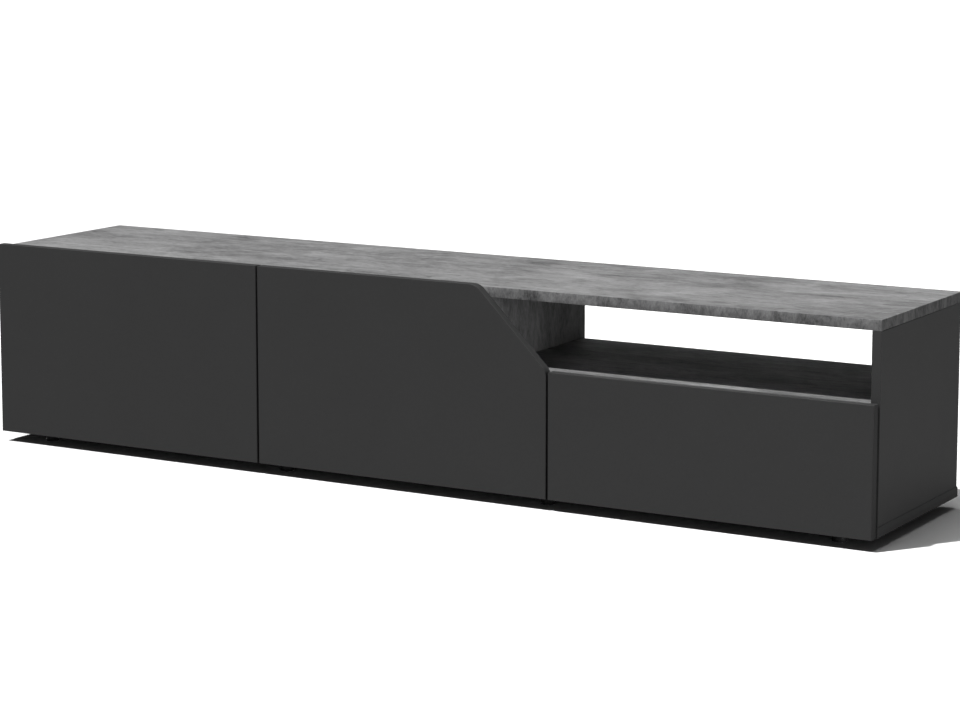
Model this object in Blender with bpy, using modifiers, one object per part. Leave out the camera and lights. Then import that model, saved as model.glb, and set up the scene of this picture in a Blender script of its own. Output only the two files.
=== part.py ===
"""Low dresser for a living room: three bays in one row, made of melamine-faced boards.

The left and middle bays close with handleless push-to-open doors on concealed hinges.
The right bay has a push-to-open drawer below a niche that is open at the front and back.
The niche runs on behind the middle door, whose upper right corner is cut at 45 degrees.

Metres, +Z up. The fronts face -Y. The origin lies on the floor, below the middle of the
whole dresser's box, fronts included.
"""

import math

import bpy
from mathutils import Vector

# ---- driving dimensions, in metres ----

BAYS = 3
BAY_W = 0.600  # one bay, a third of the dresser
DEPTH = 0.360  # worktop and bottom panel, front edge to back edge
CARCASS_H = 0.358  # underside of the bottom panel to the worktop's surface
FOOT_H = 0.020

TOP_T = 0.018
BOTTOM_T = 0.018
BOARD = 0.016  # sides, uprights, niche wall and niche shelf
BACK_T = 0.003  # hardboard back
BACK_RECESS = 0.005  # the sides stop this far short of the worktop's back edge
BACK_OVERLAP = 0.013  # how far a back panel reaches over the end of a side

FRONT_T = 0.018
FRONT_GAP = 0.002  # room behind a front, for the push that opens it
REVEAL = 0.002  # from a front's edge to the edge of its bay
DOOR_RISE = 0.005  # doors stand this much above the worktop
CHAMFER = 0.140  # both legs of the middle door's cut corner

NICHE_H = 0.123  # clear height of the open niche
NICHE_BEHIND_DOOR = 0.129  # how far the niche runs on behind the middle door's bay line
DRAWER_LIP = 0.005  # the drawer front stands this much above the niche shelf

FOOT_END = 0.080  # from the end of the dresser to the end feet's middle
FOOT_FRONT = 0.034  # from the worktop's front edge to the front feet's middle
FOOT_BACK = 0.045
FOOT_TOP_R = 0.0145
FOOT_SOLE_R = 0.0120
FOOT_FLANGE_T = 0.003
FOOT_STEM_R = 0.0125

HINGE_INSET = 0.070  # from the bay's floor or ceiling to a hinge's middle
CUP_EDGE = 0.005  # from the door's edge to the cup's bore
CUP_BORE_R = 0.0175
CUP_BORE_DEPTH = 0.0120
CUP_WALL = 0.001
WING_L = 0.062
WING_W = 0.016
WING_T = 0.001
WING_SCREW_GAP = 0.048
SCREW_HEAD_R = 0.0032
SCREW_HEAD_T = 0.0012
AXIS_IN = 0.005  # from the door's edge to its turning axis
AXIS_DEPTH = 0.006  # from the door's outer face to its turning axis
ARM_W = 0.014
ARM_T = 0.008
ARM_L = 0.070
ARM_WALL = 0.0012
ARM_NOSE_W = 0.008
ARM_NOSE_L = 0.009  # the nose's size along the dresser, small enough for the cup's rim to swing past it
ARM_NOSE_IN = 0.004  # how far the arm's nose reaches into the cup
PLATE_L = 0.046
PLATE_H = 0.052
PLATE_T = 0.0025
PLATE_FROM_FRONT = 0.037  # middle of the mounting plate, the usual system line

LATCH_BODY = (0.014, 0.062, 0.020)
LATCH_NOSE_R = 0.0036
LATCH_BORE_R = 0.0040
LATCH_END_WALL = 0.007
LATCH_NOSE_HELD = 0.014  # what stays in the body when the nose is out
LATCH_SETBACK = 0.003  # the latch's body stops this far behind the carcass's front
LATCH_TRAVEL = 0.010
STRIKE_R = 0.007
STRIKE_T = 0.0008

BOX_SIDE_T = 0.012
BOX_SIDE_H = 0.120
BOX_BACK_ROOM = 0.0567  # from the drawer box to the back edges of the sides
BOX_LIFT = 0.020  # from the bay's floor to the drawer box
BOX_BOTTOM_T = 0.003
GROOVE_LIFT = 0.010
GROOVE_DEPTH = 0.005

RUNNER_T = 0.0127
RUNNER_BACK_ROOM = 0.052  # from the runners to the back edges of the sides
RUNNER_H = 0.045
RUNNER_WALL = 0.0012
RUNNER_FROM_FRONT = 0.003
RUNNER_NEST = 0.0032  # each member's flanges lie this far inside the last one's
RUNNER_OUTER_W = 0.0092
RUNNER_MIDDLE = (0.0030, 0.0107)  # from the carcass panel, where the middle member starts and ends
RUNNER_INNER_W = 0.0068

CAM_BORE_R = 0.0077
CAM_R = 0.0074
CAM_DEPTH = 0.0120
CAM_FROM_EDGE = 0.034  # from the board's upper edge to a cam's middle
CAM_INSET = 0.060  # from the board's front and back edges to a cam's middle
CAM_SLOT_W = 0.0018
CAM_SLOT_L = 0.0090
CAM_SLOT_DEPTH = 0.0025

EDGE = 0.0006  # softening on the boards' edges
FIT = 0.0003  # between pieces that touch
STEP = 0.0002  # keeps joined shapes' faces apart
OVERCUT = 0.004  # cutters run past the faces they open

# ---- places that follow from them ----

WIDTH = BAYS * BAY_W
X_LEFT = -WIDTH / 2
X_RIGHT = WIDTH / 2
BAY_LINES = [X_LEFT + BAY_W * i for i in range(BAYS + 1)]

Y_FRONT = -(DEPTH + FRONT_GAP + FRONT_T) / 2
Y_FRONT_REAR = Y_FRONT + FRONT_T
Y_CARCASS = Y_FRONT_REAR + FRONT_GAP
Y_BACK = Y_CARCASS + DEPTH
Y_SIDE_BACK = Y_BACK - BACK_RECESS

Z_UNDER = FOOT_H
Z_FLOOR = Z_UNDER + BOTTOM_T
Z_TOP = Z_UNDER + CARCASS_H
Z_CEILING = Z_TOP - TOP_T
Z_DOOR_TOP = Z_TOP + DOOR_RISE
Z_SHELF_TOP = Z_CEILING - NICHE_H
Z_SHELF_UNDER = Z_SHELF_TOP - BOARD

X_LEFT_INNER = X_LEFT + BOARD
X_RIGHT_INNER = X_RIGHT - BOARD
X_NICHE = BAY_LINES[2] - NICHE_BEHIND_DOOR
X_DRAWER_BAY = BAY_LINES[2] + BOARD / 2

CUP_R = CUP_BORE_R - FIT
CUP_DEPTH = CUP_BORE_DEPTH - 2 * FIT
CUP_IN = CUP_EDGE + CUP_BORE_R
HINGE_HEIGHTS = {"lower": Z_FLOOR + HINGE_INSET, "upper": Z_CEILING - HINGE_INSET}


# ---- the scene and its two collections ----

for old in list(bpy.data.objects):
    bpy.data.objects.remove(old, do_unlink=True)

parts = bpy.data.collections.new("low_dresser")
cutters = bpy.data.collections.new("cutters")
bpy.context.scene.collection.children.link(parts)
bpy.context.scene.collection.children.link(cutters)


# ---- materials ----


def principled(name, colour, roughness, metallic=0.0):
    material = bpy.data.materials.new(name)
    material.use_nodes = True
    shader = material.node_tree.nodes["Principled BSDF"]
    shader.inputs["Base Color"].default_value = (*colour, 1.0)
    shader.inputs["Roughness"].default_value = roughness
    shader.inputs["Metallic"].default_value = metallic
    material.diffuse_color = (*colour, 1.0)
    return material


ANTHRACITE = principled("anthracite_melamine", (0.030, 0.032, 0.034), 0.55)
SLATE = principled("slate_decor", (0.125, 0.127, 0.130), 0.60)
HARDBOARD = principled("dark_hardboard", (0.045, 0.045, 0.047), 0.70)
DRAWER_FOIL = principled("drawer_foil", (0.070, 0.072, 0.075), 0.60)
BLACK_PLASTIC = principled("black_plastic", (0.012, 0.012, 0.013), 0.45)
GREY_PLASTIC = principled("grey_plastic", (0.220, 0.225, 0.230), 0.45)
ZINC = principled("zinc_plated_steel", (0.560, 0.570, 0.580), 0.32, 1.0)
NICKEL = principled("nickelled_steel", (0.660, 0.650, 0.620), 0.26, 1.0)


# ---- shapes ----


def collect(obj, name, material, collection):
    """Names an object and moves it to its collection."""
    for holder in list(obj.users_collection):
        holder.objects.unlink(obj)
    collection.objects.link(obj)
    obj.name = name
    obj.data.name = name
    if material is not None:
        obj.data.materials.append(material)
    return obj


def box(name, low, high, material=None, collection=parts):
    """A box between two opposite corners, with its origin in its middle."""
    low = Vector(low)
    high = Vector(high)
    bpy.ops.mesh.primitive_cube_add(size=1, location=(low + high) / 2)
    obj = bpy.context.object
    obj.scale = high - low
    bpy.ops.object.transform_apply(location=False, rotation=False, scale=True)
    return collect(obj, name, material, collection)


def round_bar(name, centre, axis, radius, length, material=None, collection=parts, sides=32):
    """A cylinder about any axis, with its origin in its middle."""
    bpy.ops.mesh.primitive_cylinder_add(vertices=sides, radius=radius, depth=length, location=centre)
    obj = bpy.context.object
    obj.rotation_euler = Vector(axis).to_track_quat("Z", "Y").to_euler()
    obj.data.shade_smooth()
    obj.data.set_sharp_from_angle(angle=math.radians(35))
    return collect(obj, name, material, collection)


def turned(name, centre, axis, profile, material=None, collection=parts, steps=32):
    """A profile of (radius, height) points, spun about its axis by a Screw modifier."""
    mesh = bpy.data.meshes.new(name)
    points = [(radius, 0.0, height) for radius, height in profile]
    edges = [(i, i + 1) for i in range(len(points) - 1)]
    mesh.from_pydata(points, edges, [])
    obj = bpy.data.objects.new(name, mesh)
    collection.objects.link(obj)
    obj.location = centre
    obj.rotation_euler = Vector(axis).to_track_quat("Z", "Y").to_euler()
    spin = obj.modifiers.new("spin", "SCREW")
    spin.steps = steps
    spin.render_steps = steps
    spin.use_merge_vertices = True
    spin.merge_threshold = 0.00005
    spin.use_smooth_shade = True
    if material is not None:
        mesh.materials.append(material)
    return obj


def boolean(obj, other, operation):
    """Cuts or joins with another object, which is then only a guide."""
    other.hide_render = True
    other.display_type = "WIRE"
    step = obj.modifiers.new(operation.lower(), "BOOLEAN")
    step.operation = operation
    step.solver = "EXACT"
    step.object = other
    return obj


def cut(obj, cutter):
    return boolean(obj, cutter, "DIFFERENCE")


def join(obj, other):
    return boolean(obj, other, "UNION")


def soften(obj, width=EDGE):
    """A narrow flat along every sharp edge, as edge banding leaves."""
    bevel = obj.modifiers.new("edge", "BEVEL")
    bevel.width = width
    bevel.segments = 1
    bevel.limit_method = "ANGLE"
    bevel.angle_limit = math.radians(40)
    return obj


def board(name, low, high, material):
    return soften(box(name, low, high, material))


def axis_empty(name, place):
    """The axis that a moving body turns about or slides from."""
    empty = bpy.data.objects.new(name, None)
    parts.objects.link(empty)
    empty.location = place
    empty.empty_display_size = 0.03
    return empty


def carried(obj, carrier):
    """Parents a piece to its body's axis and leaves it where it is."""
    obj.location = Vector(obj.location) - Vector(carrier.location)
    obj.parent = carrier
    return obj


# ---- carcass ----


def cam_bores(panel, x_face, inward, z_edge):
    """Bores near a panel's upper edge for the two cams that pull the worktop down on it."""
    for place, y in (("front", Y_CARCASS + CAM_INSET), ("back", Y_SIDE_BACK - CAM_INSET)):
        z = z_edge - CAM_FROM_EDGE
        middle = x_face + inward * (CAM_DEPTH - OVERCUT) / 2
        bore = round_bar(
            f"cut_{panel.name}_cam_{place}",
            (middle, y, z),
            (1, 0, 0),
            CAM_BORE_R,
            CAM_DEPTH + OVERCUT,
            collection=cutters,
        )
        cut(panel, bore)


def cams(panel_name, x_face, inward, z_edge):
    """The two cams: short discs with a screwdriver slot, flush with the panel."""
    for place, y in (("front", Y_CARCASS + CAM_INSET), ("back", Y_SIDE_BACK - CAM_INSET)):
        z = z_edge - CAM_FROM_EDGE
        length = CAM_DEPTH - 2 * FIT
        name = f"cam_{panel_name}_{place}"
        disc = round_bar(name, (x_face + inward * (length / 2 + FIT), y, z), (1, 0, 0), CAM_R, length, ZINC)
        slot_low = (x_face + inward * (FIT + CAM_SLOT_DEPTH), y - CAM_SLOT_L / 2, z - CAM_SLOT_W / 2)
        slot_high = (x_face - inward * OVERCUT, y + CAM_SLOT_L / 2, z + CAM_SLOT_W / 2)
        low = [min(a, b) for a, b in zip(slot_low, slot_high)]
        high = [max(a, b) for a, b in zip(slot_low, slot_high)]
        cut(disc, box(f"cut_{name}_slot", low, high, collection=cutters))


def carcass():
    board("worktop", (X_LEFT, Y_CARCASS, Z_CEILING), (X_RIGHT, Y_BACK, Z_TOP), SLATE)
    board("bottom_panel", (X_LEFT, Y_CARCASS, Z_UNDER), (X_RIGHT, Y_BACK, Z_FLOOR), ANTHRACITE)

    stand = Z_FLOOR + FIT
    hang = Z_CEILING - FIT
    side_left = box("side_left", (X_LEFT, Y_CARCASS, stand), (X_LEFT_INNER, Y_SIDE_BACK, hang), ANTHRACITE)
    side_right = box("side_right", (X_RIGHT_INNER, Y_CARCASS, stand), (X_RIGHT, Y_SIDE_BACK, hang), ANTHRACITE)
    middle = BAY_LINES[1]
    upright_left = box(
        "upright_left",
        (middle - BOARD / 2, Y_CARCASS, stand),
        (middle + BOARD / 2, Y_SIDE_BACK, hang),
        ANTHRACITE,
    )
    middle = BAY_LINES[2]
    board(
        "upright_right",
        (middle - BOARD / 2, Y_CARCASS, stand),
        (middle + BOARD / 2, Y_SIDE_BACK, Z_SHELF_UNDER - FIT),
        ANTHRACITE,
    )
    board(
        "niche_shelf",
        (X_NICHE - BOARD, Y_CARCASS, Z_SHELF_UNDER),
        (X_RIGHT_INNER - FIT, Y_SIDE_BACK, Z_SHELF_TOP),
        SLATE,
    )
    niche_wall = box(
        "niche_wall",
        (X_NICHE - BOARD, Y_CARCASS, Z_SHELF_TOP + FIT),
        (X_NICHE, Y_SIDE_BACK, hang),
        SLATE,
    )
    for panel, x_face, inward in (
        (side_left, X_LEFT_INNER, -1),
        (side_right, X_RIGHT_INNER, 1),
        (upright_left, BAY_LINES[1] - BOARD / 2, 1),
        (niche_wall, X_NICHE - BOARD, 1),
    ):
        soften(panel)
        cam_bores(panel, x_face, inward, hang)
        cams(panel.name, x_face, inward, hang)


def backs():
    """Three sheets in the recess behind the sides. The niche stays open."""
    front = Y_SIDE_BACK + FIT
    rear = front + BACK_T
    low = Z_FLOOR + FIT
    high = Z_CEILING - FIT
    left = X_LEFT_INNER - BACK_OVERLAP
    right = X_RIGHT_INNER + BACK_OVERLAP
    seam = BAY_LINES[1]
    box("back_left", (left, front, low), (seam - FIT, rear, high), HARDBOARD)

    middle = box("back_middle", (seam, front, low), (BAY_LINES[2] - FIT, rear, high), HARDBOARD)
    niche_low = (X_NICHE, front - OVERCUT, Z_SHELF_UNDER + BOARD / 2)
    niche_high = (BAY_LINES[2] + OVERCUT, rear + OVERCUT, high + OVERCUT)
    cut(middle, box("cut_back_middle_niche", niche_low, niche_high, collection=cutters))

    box("back_right", (BAY_LINES[2], front, low), (right, rear, Z_SHELF_UNDER + BOARD / 2), HARDBOARD)


def feet():
    """Eight round glides, evenly spaced in two rows."""
    spacing = (WIDTH - 2 * FOOT_END) / 3
    height = Z_UNDER - FIT
    profile = [
        (0.0, height),
        (FOOT_TOP_R, height),
        (FOOT_TOP_R, height - FOOT_FLANGE_T),
        (FOOT_STEM_R, height - FOOT_FLANGE_T),
        (FOOT_SOLE_R, 0.0),
        (0.0, 0.0),
    ]
    for row, y in (("front", Y_CARCASS + FOOT_FRONT), ("back", Y_BACK - FOOT_BACK)):
        for i in range(4):
            x = X_LEFT + FOOT_END + spacing * i
            turned(f"foot_{row}_{i + 1}", (x, y, 0.0), (0, 0, 1), profile, BLACK_PLASTIC, steps=28)


# ---- doors ----


def cup_bore(door, x, z):
    depth = CUP_BORE_DEPTH + OVERCUT
    middle = Y_FRONT_REAR - CUP_BORE_DEPTH + depth / 2
    bore = round_bar(
        f"cut_{door.name}_cup_{z:.3f}", (x, middle, z), (0, 1, 0), CUP_BORE_R, depth, collection=cutters, sides=48
    )
    cut(door, bore)


def hinge_cup(name, x, z):
    """A pressed cup sunk in the door, with two wings that are screwed to its back."""
    mouth = Y_FRONT_REAR + FIT + WING_T
    depth = CUP_DEPTH + WING_T
    inner = CUP_R - CUP_WALL
    profile = [
        (0.0, CUP_WALL - depth),
        (inner, CUP_WALL - depth),
        (inner, 0.0),
        (CUP_R, 0.0),
        (CUP_R, -depth),
        (0.0, -depth),
    ]
    cup = turned(name, (x, mouth, z), (0, 1, 0), profile, NICKEL, steps=48)
    wings = box(
        f"join_{name}_wings",
        (x - WING_W / 2, mouth - WING_T, z - WING_L / 2),
        (x + WING_W / 2, mouth - STEP, z + WING_L / 2),
        collection=cutters,
    )
    hole_length = WING_T + 2 * OVERCUT
    hole = round_bar(
        f"cut_{name}_mouth", (x, mouth, z), (0, 1, 0), inner + CUP_WALL / 2, hole_length, collection=cutters, sides=48
    )
    cut(wings, hole)
    join(cup, wings)
    for side in (-1, 1):
        place = (x, mouth, z + side * WING_SCREW_GAP / 2)
        head = f"join_{name}_screw_{side}"
        join(cup, round_bar(head, place, (0, 1, 0), SCREW_HEAD_R, SCREW_HEAD_T, collection=cutters, sides=16))
    return cup


def hinge_arm(name, x_panel, x_cup, z):
    """The arm in the bay: a folded channel on a plate that is screwed to the panel.

    Its nose reaches over and into the cup. The links between them are too small to model.
    """
    plate_middle = Y_CARCASS + PLATE_FROM_FRONT
    plate = box(
        f"{name}_plate",
        (x_panel + FIT, plate_middle - PLATE_L / 2, z - ARM_W / 2),
        (x_panel + FIT + PLATE_T, plate_middle + PLATE_L / 2, z + ARM_W / 2),
        ZINC,
    )
    wing = box(
        f"join_{name}_plate_wing",
        (x_panel + FIT + STEP, plate_middle - ARM_W / 2, z - PLATE_H / 2),
        (x_panel + FIT + PLATE_T - STEP, plate_middle + ARM_W / 2, z + PLATE_H / 2),
        collection=cutters,
    )
    join(plate, wing)
    for side in (-1, 1):
        place = (x_panel + FIT + PLATE_T, plate_middle, z + side * (PLATE_H - ARM_W) / 2)
        head = f"join_{name}_plate_screw_{side}"
        join(plate, round_bar(head, place, (1, 0, 0), SCREW_HEAD_R, SCREW_HEAD_T, collection=cutters, sides=16))

    root_x = x_panel + 2 * FIT + PLATE_T
    arm = box(
        name,
        (root_x, Y_CARCASS + FIT, z - ARM_W / 2),
        (root_x + ARM_T, Y_CARCASS + ARM_L, z + ARM_W / 2),
        NICKEL,
    )
    hollow = box(
        f"cut_{name}_hollow",
        (root_x - OVERCUT, Y_CARCASS + ARM_W, z - ARM_W / 2 + ARM_WALL),
        (root_x + ARM_T - ARM_WALL, Y_CARCASS + ARM_L + OVERCUT, z + ARM_W / 2 - ARM_WALL),
        collection=cutters,
    )
    cut(arm, hollow)
    nose_end = x_cup + ARM_NOSE_L / 2
    neck = box(
        f"join_{name}_neck",
        (root_x + ARM_T / 2, Y_CARCASS + FIT + STEP, z - ARM_NOSE_W / 2),
        (nose_end, Y_CARCASS + ARM_W / 2, z + ARM_NOSE_W / 2),
        collection=cutters,
    )
    nose = box(
        f"join_{name}_nose",
        (nose_end - ARM_NOSE_L, Y_FRONT_REAR - ARM_NOSE_IN, z - ARM_NOSE_W / 2 + STEP),
        (nose_end - STEP, Y_CARCASS + ARM_W / 2 - STEP, z + ARM_NOSE_W / 2 - STEP),
        collection=cutters,
    )
    join(arm, neck)
    join(arm, nose)
    screw = round_bar(
        f"join_{name}_screw",
        (root_x + ARM_T, plate_middle, z),
        (1, 0, 0),
        SCREW_HEAD_R,
        SCREW_HEAD_T,
        collection=cutters,
        sides=16,
    )
    join(arm, screw)


def latch(name, x_panel, z):
    """A push latch on the panel at the door's free edge. Its nose starts just off the door's strike plate."""
    width, length, height = LATCH_BODY
    front = Y_CARCASS + LATCH_SETBACK
    x_nose = x_panel - FIT - width / 2
    body = box(
        f"{name}_body",
        (x_panel - FIT - width, front, z - height / 2),
        (x_panel - FIT, front + length, z + height / 2),
        GREY_PLASTIC,
    )
    bore_length = length - LATCH_END_WALL + OVERCUT
    bore = round_bar(
        f"cut_{name}_bore",
        (x_nose, front - OVERCUT + bore_length / 2, z),
        (0, 1, 0),
        LATCH_BORE_R,
        bore_length,
        collection=cutters,
    )
    soften(body)
    cut(body, bore)

    tip = Y_FRONT_REAR + 2 * FIT + STRIKE_T
    nose_length = front - tip + LATCH_TRAVEL + LATCH_NOSE_HELD
    carrier = axis_empty(f"{name}_axis", (x_nose, tip, z))
    nose = round_bar(
        f"{name}_nose", (x_nose, tip + nose_length / 2, z), (0, 1, 0), LATCH_NOSE_R, nose_length, BLACK_PLASTIC
    )
    carried(soften(nose), carrier)


def door(name, left_line, right_line, x_hinge_panel, latch_panel, latch_z, chamfered=False):
    """A full-height door. Its axis is near its left edge, in the middle of its thickness."""
    left = left_line + REVEAL
    right = right_line - REVEAL
    panel = box(f"{name}_door", (left, Y_FRONT, Z_UNDER), (right, Y_FRONT_REAR, Z_DOOR_TOP), ANTHRACITE)
    if chamfered:
        size = 2 * CHAMFER
        outward = Vector((1.0, 0.0, 1.0)).normalized()
        on_edge = Vector((right - CHAMFER / 2, (Y_FRONT + Y_FRONT_REAR) / 2, Z_DOOR_TOP - CHAMFER / 2))
        middle = on_edge + outward * size / 2
        half = Vector((size, FRONT_T + 2 * OVERCUT, size)) / 2
        corner = box(f"cut_{name}_door_corner", middle - half, middle + half, collection=cutters)
        corner.rotation_euler = (0.0, math.radians(45), 0.0)
        cut(panel, corner)
    soften(panel)

    carrier = axis_empty(f"{name}_door_axis", (left + AXIS_IN, Y_FRONT + AXIS_DEPTH, Z_UNDER))
    x_cup = left + CUP_IN
    for place, z in HINGE_HEIGHTS.items():
        cup_bore(panel, x_cup, z)
        carried(hinge_cup(f"{name}_hinge_cup_{place}", x_cup, z), carrier)
        hinge_arm(f"{name}_hinge_arm_{place}", x_hinge_panel, x_cup, z)
    carried(panel, carrier)

    width = LATCH_BODY[0]
    strike = round_bar(
        f"{name}_strike_plate",
        (latch_panel - FIT - width / 2, Y_FRONT_REAR + FIT + STRIKE_T / 2, latch_z),
        (0, 1, 0),
        STRIKE_R,
        STRIKE_T,
        ZINC,
    )
    carried(strike, carrier)
    latch(f"{name}_latch", latch_panel, latch_z)


# ---- drawer ----

X_BOX_LEFT = X_DRAWER_BAY + RUNNER_T
X_BOX_RIGHT = X_RIGHT_INNER - RUNNER_T
Y_BOX_FRONT = Y_FRONT_REAR + FIT
Y_BOX_BACK = Y_SIDE_BACK - BOX_BACK_ROOM
Y_RUNNER_FRONT = Y_CARCASS + RUNNER_FROM_FRONT
Y_RUNNER_BACK = Y_SIDE_BACK - RUNNER_BACK_ROOM
Z_BOX = Z_FLOOR + BOX_LIFT
Z_BOX_TOP = Z_BOX + BOX_SIDE_H
Z_GROOVE = Z_BOX + GROOVE_LIFT
Z_GROOVE_TOP = Z_GROOVE + BOX_BOTTOM_T + 2 * FIT


def drawer_side(name, x_outer, inward, carrier):
    """A side of the box. The bottom slides into a groove along its inner face."""
    x_inner = x_outer + inward * BOX_SIDE_T
    low = (min(x_outer, x_inner), Y_BOX_FRONT, Z_BOX)
    high = (max(x_outer, x_inner), Y_BOX_BACK, Z_BOX_TOP)
    side = board(name, low, high, DRAWER_FOIL)
    x_end = x_inner - inward * GROOVE_DEPTH
    x_mouth = x_inner + inward * OVERCUT
    groove = box(
        f"cut_{name}_groove",
        (min(x_end, x_mouth), Y_BOX_FRONT - OVERCUT, Z_GROOVE),
        (max(x_end, x_mouth), Y_BOX_BACK + OVERCUT, Z_GROOVE_TOP),
        collection=cutters,
    )
    carried(cut(side, groove), carrier)


def channel(name, x_start, x_end, height, web_at_start, material):
    """One folded steel member of a runner: a web along one side and a flange above and below."""
    z = (Z_BOX + Z_BOX_TOP) / 2
    low = (min(x_start, x_end), Y_RUNNER_FRONT, z - height / 2)
    high = (max(x_start, x_end), Y_RUNNER_BACK, z + height / 2)
    member = box(name, low, high, material)
    outward = math.copysign(1.0, x_end - x_start)
    if web_at_start:
        hollow = (x_start + outward * RUNNER_WALL, x_end + outward * OVERCUT)
    else:
        hollow = (x_start - outward * OVERCUT, x_end - outward * RUNNER_WALL)
    cutter = box(
        f"cut_{name}",
        (min(hollow), Y_RUNNER_FRONT - OVERCUT, z - height / 2 + RUNNER_WALL),
        (max(hollow), Y_RUNNER_BACK + OVERCUT, z + height / 2 - RUNNER_WALL),
        collection=cutters,
    )
    return cut(member, cutter)


def runner(side, x_panel, inward, slide, drawer_slide):
    """A full-extension runner: one member on the panel, one on the drawer, one that slides between them."""
    start = x_panel + inward * FIT
    channel(f"runner_outer_{side}", start, start + inward * RUNNER_OUTER_W, RUNNER_H, True, ZINC)

    middle = [x_panel + inward * offset for offset in RUNNER_MIDDLE]
    height = RUNNER_H - 2 * RUNNER_NEST
    carried(channel(f"runner_middle_{side}", middle[0], middle[1], height, True, ZINC), slide)

    end = x_panel + inward * (RUNNER_T - FIT)
    height = RUNNER_H - 4 * RUNNER_NEST
    inner = channel(f"runner_inner_{side}", end - inward * RUNNER_INNER_W, end, height, False, ZINC)
    carried(inner, drawer_slide)


def drawer():
    slide = axis_empty("drawer_axis", ((X_BOX_LEFT + X_BOX_RIGHT) / 2, Y_FRONT, (Z_BOX + Z_BOX_TOP) / 2))
    middle_slide = axis_empty("runner_axis", (slide.location.x, Y_CARCASS, slide.location.z))

    front_low = (BAY_LINES[2] + REVEAL, Y_FRONT, Z_UNDER)
    front_high = (X_RIGHT - REVEAL, Y_FRONT_REAR, Z_SHELF_TOP + DRAWER_LIP)
    carried(board("drawer_front", front_low, front_high, ANTHRACITE), slide)

    drawer_side("drawer_side_left", X_BOX_LEFT, 1, slide)
    drawer_side("drawer_side_right", X_BOX_RIGHT, -1, slide)

    reach = BOX_SIDE_T - GROOVE_DEPTH + FIT
    bottom_low = (X_BOX_LEFT + reach, Y_BOX_FRONT, Z_GROOVE + FIT)
    bottom_high = (X_BOX_RIGHT - reach, Y_BOX_BACK, Z_GROOVE + FIT + BOX_BOTTOM_T)
    carried(box("drawer_bottom", bottom_low, bottom_high, DRAWER_FOIL), slide)

    back_low = (X_BOX_LEFT + BOX_SIDE_T + FIT, Y_BOX_BACK - BOX_SIDE_T, Z_GROOVE_TOP)
    back_high = (X_BOX_RIGHT - BOX_SIDE_T - FIT, Y_BOX_BACK, Z_BOX_TOP)
    carried(board("drawer_back", back_low, back_high, DRAWER_FOIL), slide)

    runner("left", X_DRAWER_BAY, 1, middle_slide, slide)
    runner("right", X_RIGHT_INNER, -1, middle_slide, slide)


# ---- the whole dresser ----

carcass()
backs()
feet()
door(
    "left",
    BAY_LINES[0],
    BAY_LINES[1],
    X_LEFT_INNER,
    BAY_LINES[1] - BOARD / 2,
    (Z_FLOOR + Z_CEILING) / 2,
)
door(
    "middle",
    BAY_LINES[1],
    BAY_LINES[2],
    BAY_LINES[1] + BOARD / 2,
    BAY_LINES[2] - BOARD / 2,
    (Z_FLOOR + Z_SHELF_UNDER) / 2,
    chamfered=True,
)
drawer()
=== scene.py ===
import math

import bmesh
import bpy
from mathutils import Matrix, Vector


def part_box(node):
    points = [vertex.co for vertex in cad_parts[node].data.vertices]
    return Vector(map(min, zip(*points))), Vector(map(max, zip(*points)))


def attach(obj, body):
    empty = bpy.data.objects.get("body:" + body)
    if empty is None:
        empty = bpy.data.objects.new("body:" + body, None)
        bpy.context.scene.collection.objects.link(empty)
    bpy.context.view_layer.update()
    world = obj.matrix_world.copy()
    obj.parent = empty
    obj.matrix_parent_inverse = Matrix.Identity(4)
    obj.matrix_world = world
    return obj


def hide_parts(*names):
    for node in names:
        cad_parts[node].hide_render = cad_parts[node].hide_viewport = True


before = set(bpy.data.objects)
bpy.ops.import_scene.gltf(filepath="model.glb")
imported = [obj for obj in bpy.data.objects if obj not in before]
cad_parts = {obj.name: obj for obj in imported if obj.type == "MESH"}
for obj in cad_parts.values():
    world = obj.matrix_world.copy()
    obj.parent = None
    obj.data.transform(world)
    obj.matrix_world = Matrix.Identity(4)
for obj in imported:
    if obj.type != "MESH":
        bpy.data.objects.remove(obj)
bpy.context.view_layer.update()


# ---- Studio ----
# A pale floor that runs off into white air. One high lamp stands to the left of the fronts, a softbox
# hangs above with a second one that lights only the floor, and weak fills, flagged off the floor,
# open up the other sides.

STUDIO_FLOOR_SIZE = 60.0
CAMERA_PLACE = Vector((2.592, -4.342, 1.092))
CAMERA_AIM = Vector((0.029, 0.048, 0.381))
CAMERA_LENS = 105.83
CAMERA_RISE = -0.10
KEY_TRAVEL = Vector((0.275, 0.39, -1.0))
KEY_DISTANCE = 4.0
KEY_STRENGTH = 4.2
KEY_WIDTH = math.radians(2.0)
AIR_SEEN = 1.0
AIR_GLOW = 0.04
WHITE = (1, 1, 1, 1)
FLOOR_SEEN = (0.98, 0.98, 0.98, 1)
FLOOR_BOUNCE = (0.20, 0.20, 0.20, 1)
FLOOR_GRAIN = 40.0
# Name, place, aim, width and height, power, and whether the floor is all it lights or is left out.
SOFTBOXES = (
    ("overhead_softbox", (0.2, 0.1, 2.6), (0.0, 0.0, 0.2), (3.2, 1.8), 18.0, None),
    ("floor_wash", (0.2, 0.1, 2.7), (0.0, 0.0, 0.2), (3.2, 1.8), 28.0, "INCLUDE"),
    ("right_fill", (4.0, -0.9, 0.5), (0.9, 0.0, 0.25), (1.2, 0.8), 43.0, "EXCLUDE"),
    ("front_fill", (0.3, -4.2, 0.75), (0.0, 0.0, 0.25), (2.4, 0.7), 7.0, "EXCLUDE"),
    ("left_fill", (-4.0, -0.4, 0.6), (-0.9, 0.0, 0.2), (1.2, 0.8), 24.0, "EXCLUDE"),
    ("back_fill", (-0.4, 4.0, 0.35), (0.0, 0.2, 0.25), (3.0, 0.7), 24.0, "EXCLUDE"),
)


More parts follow.
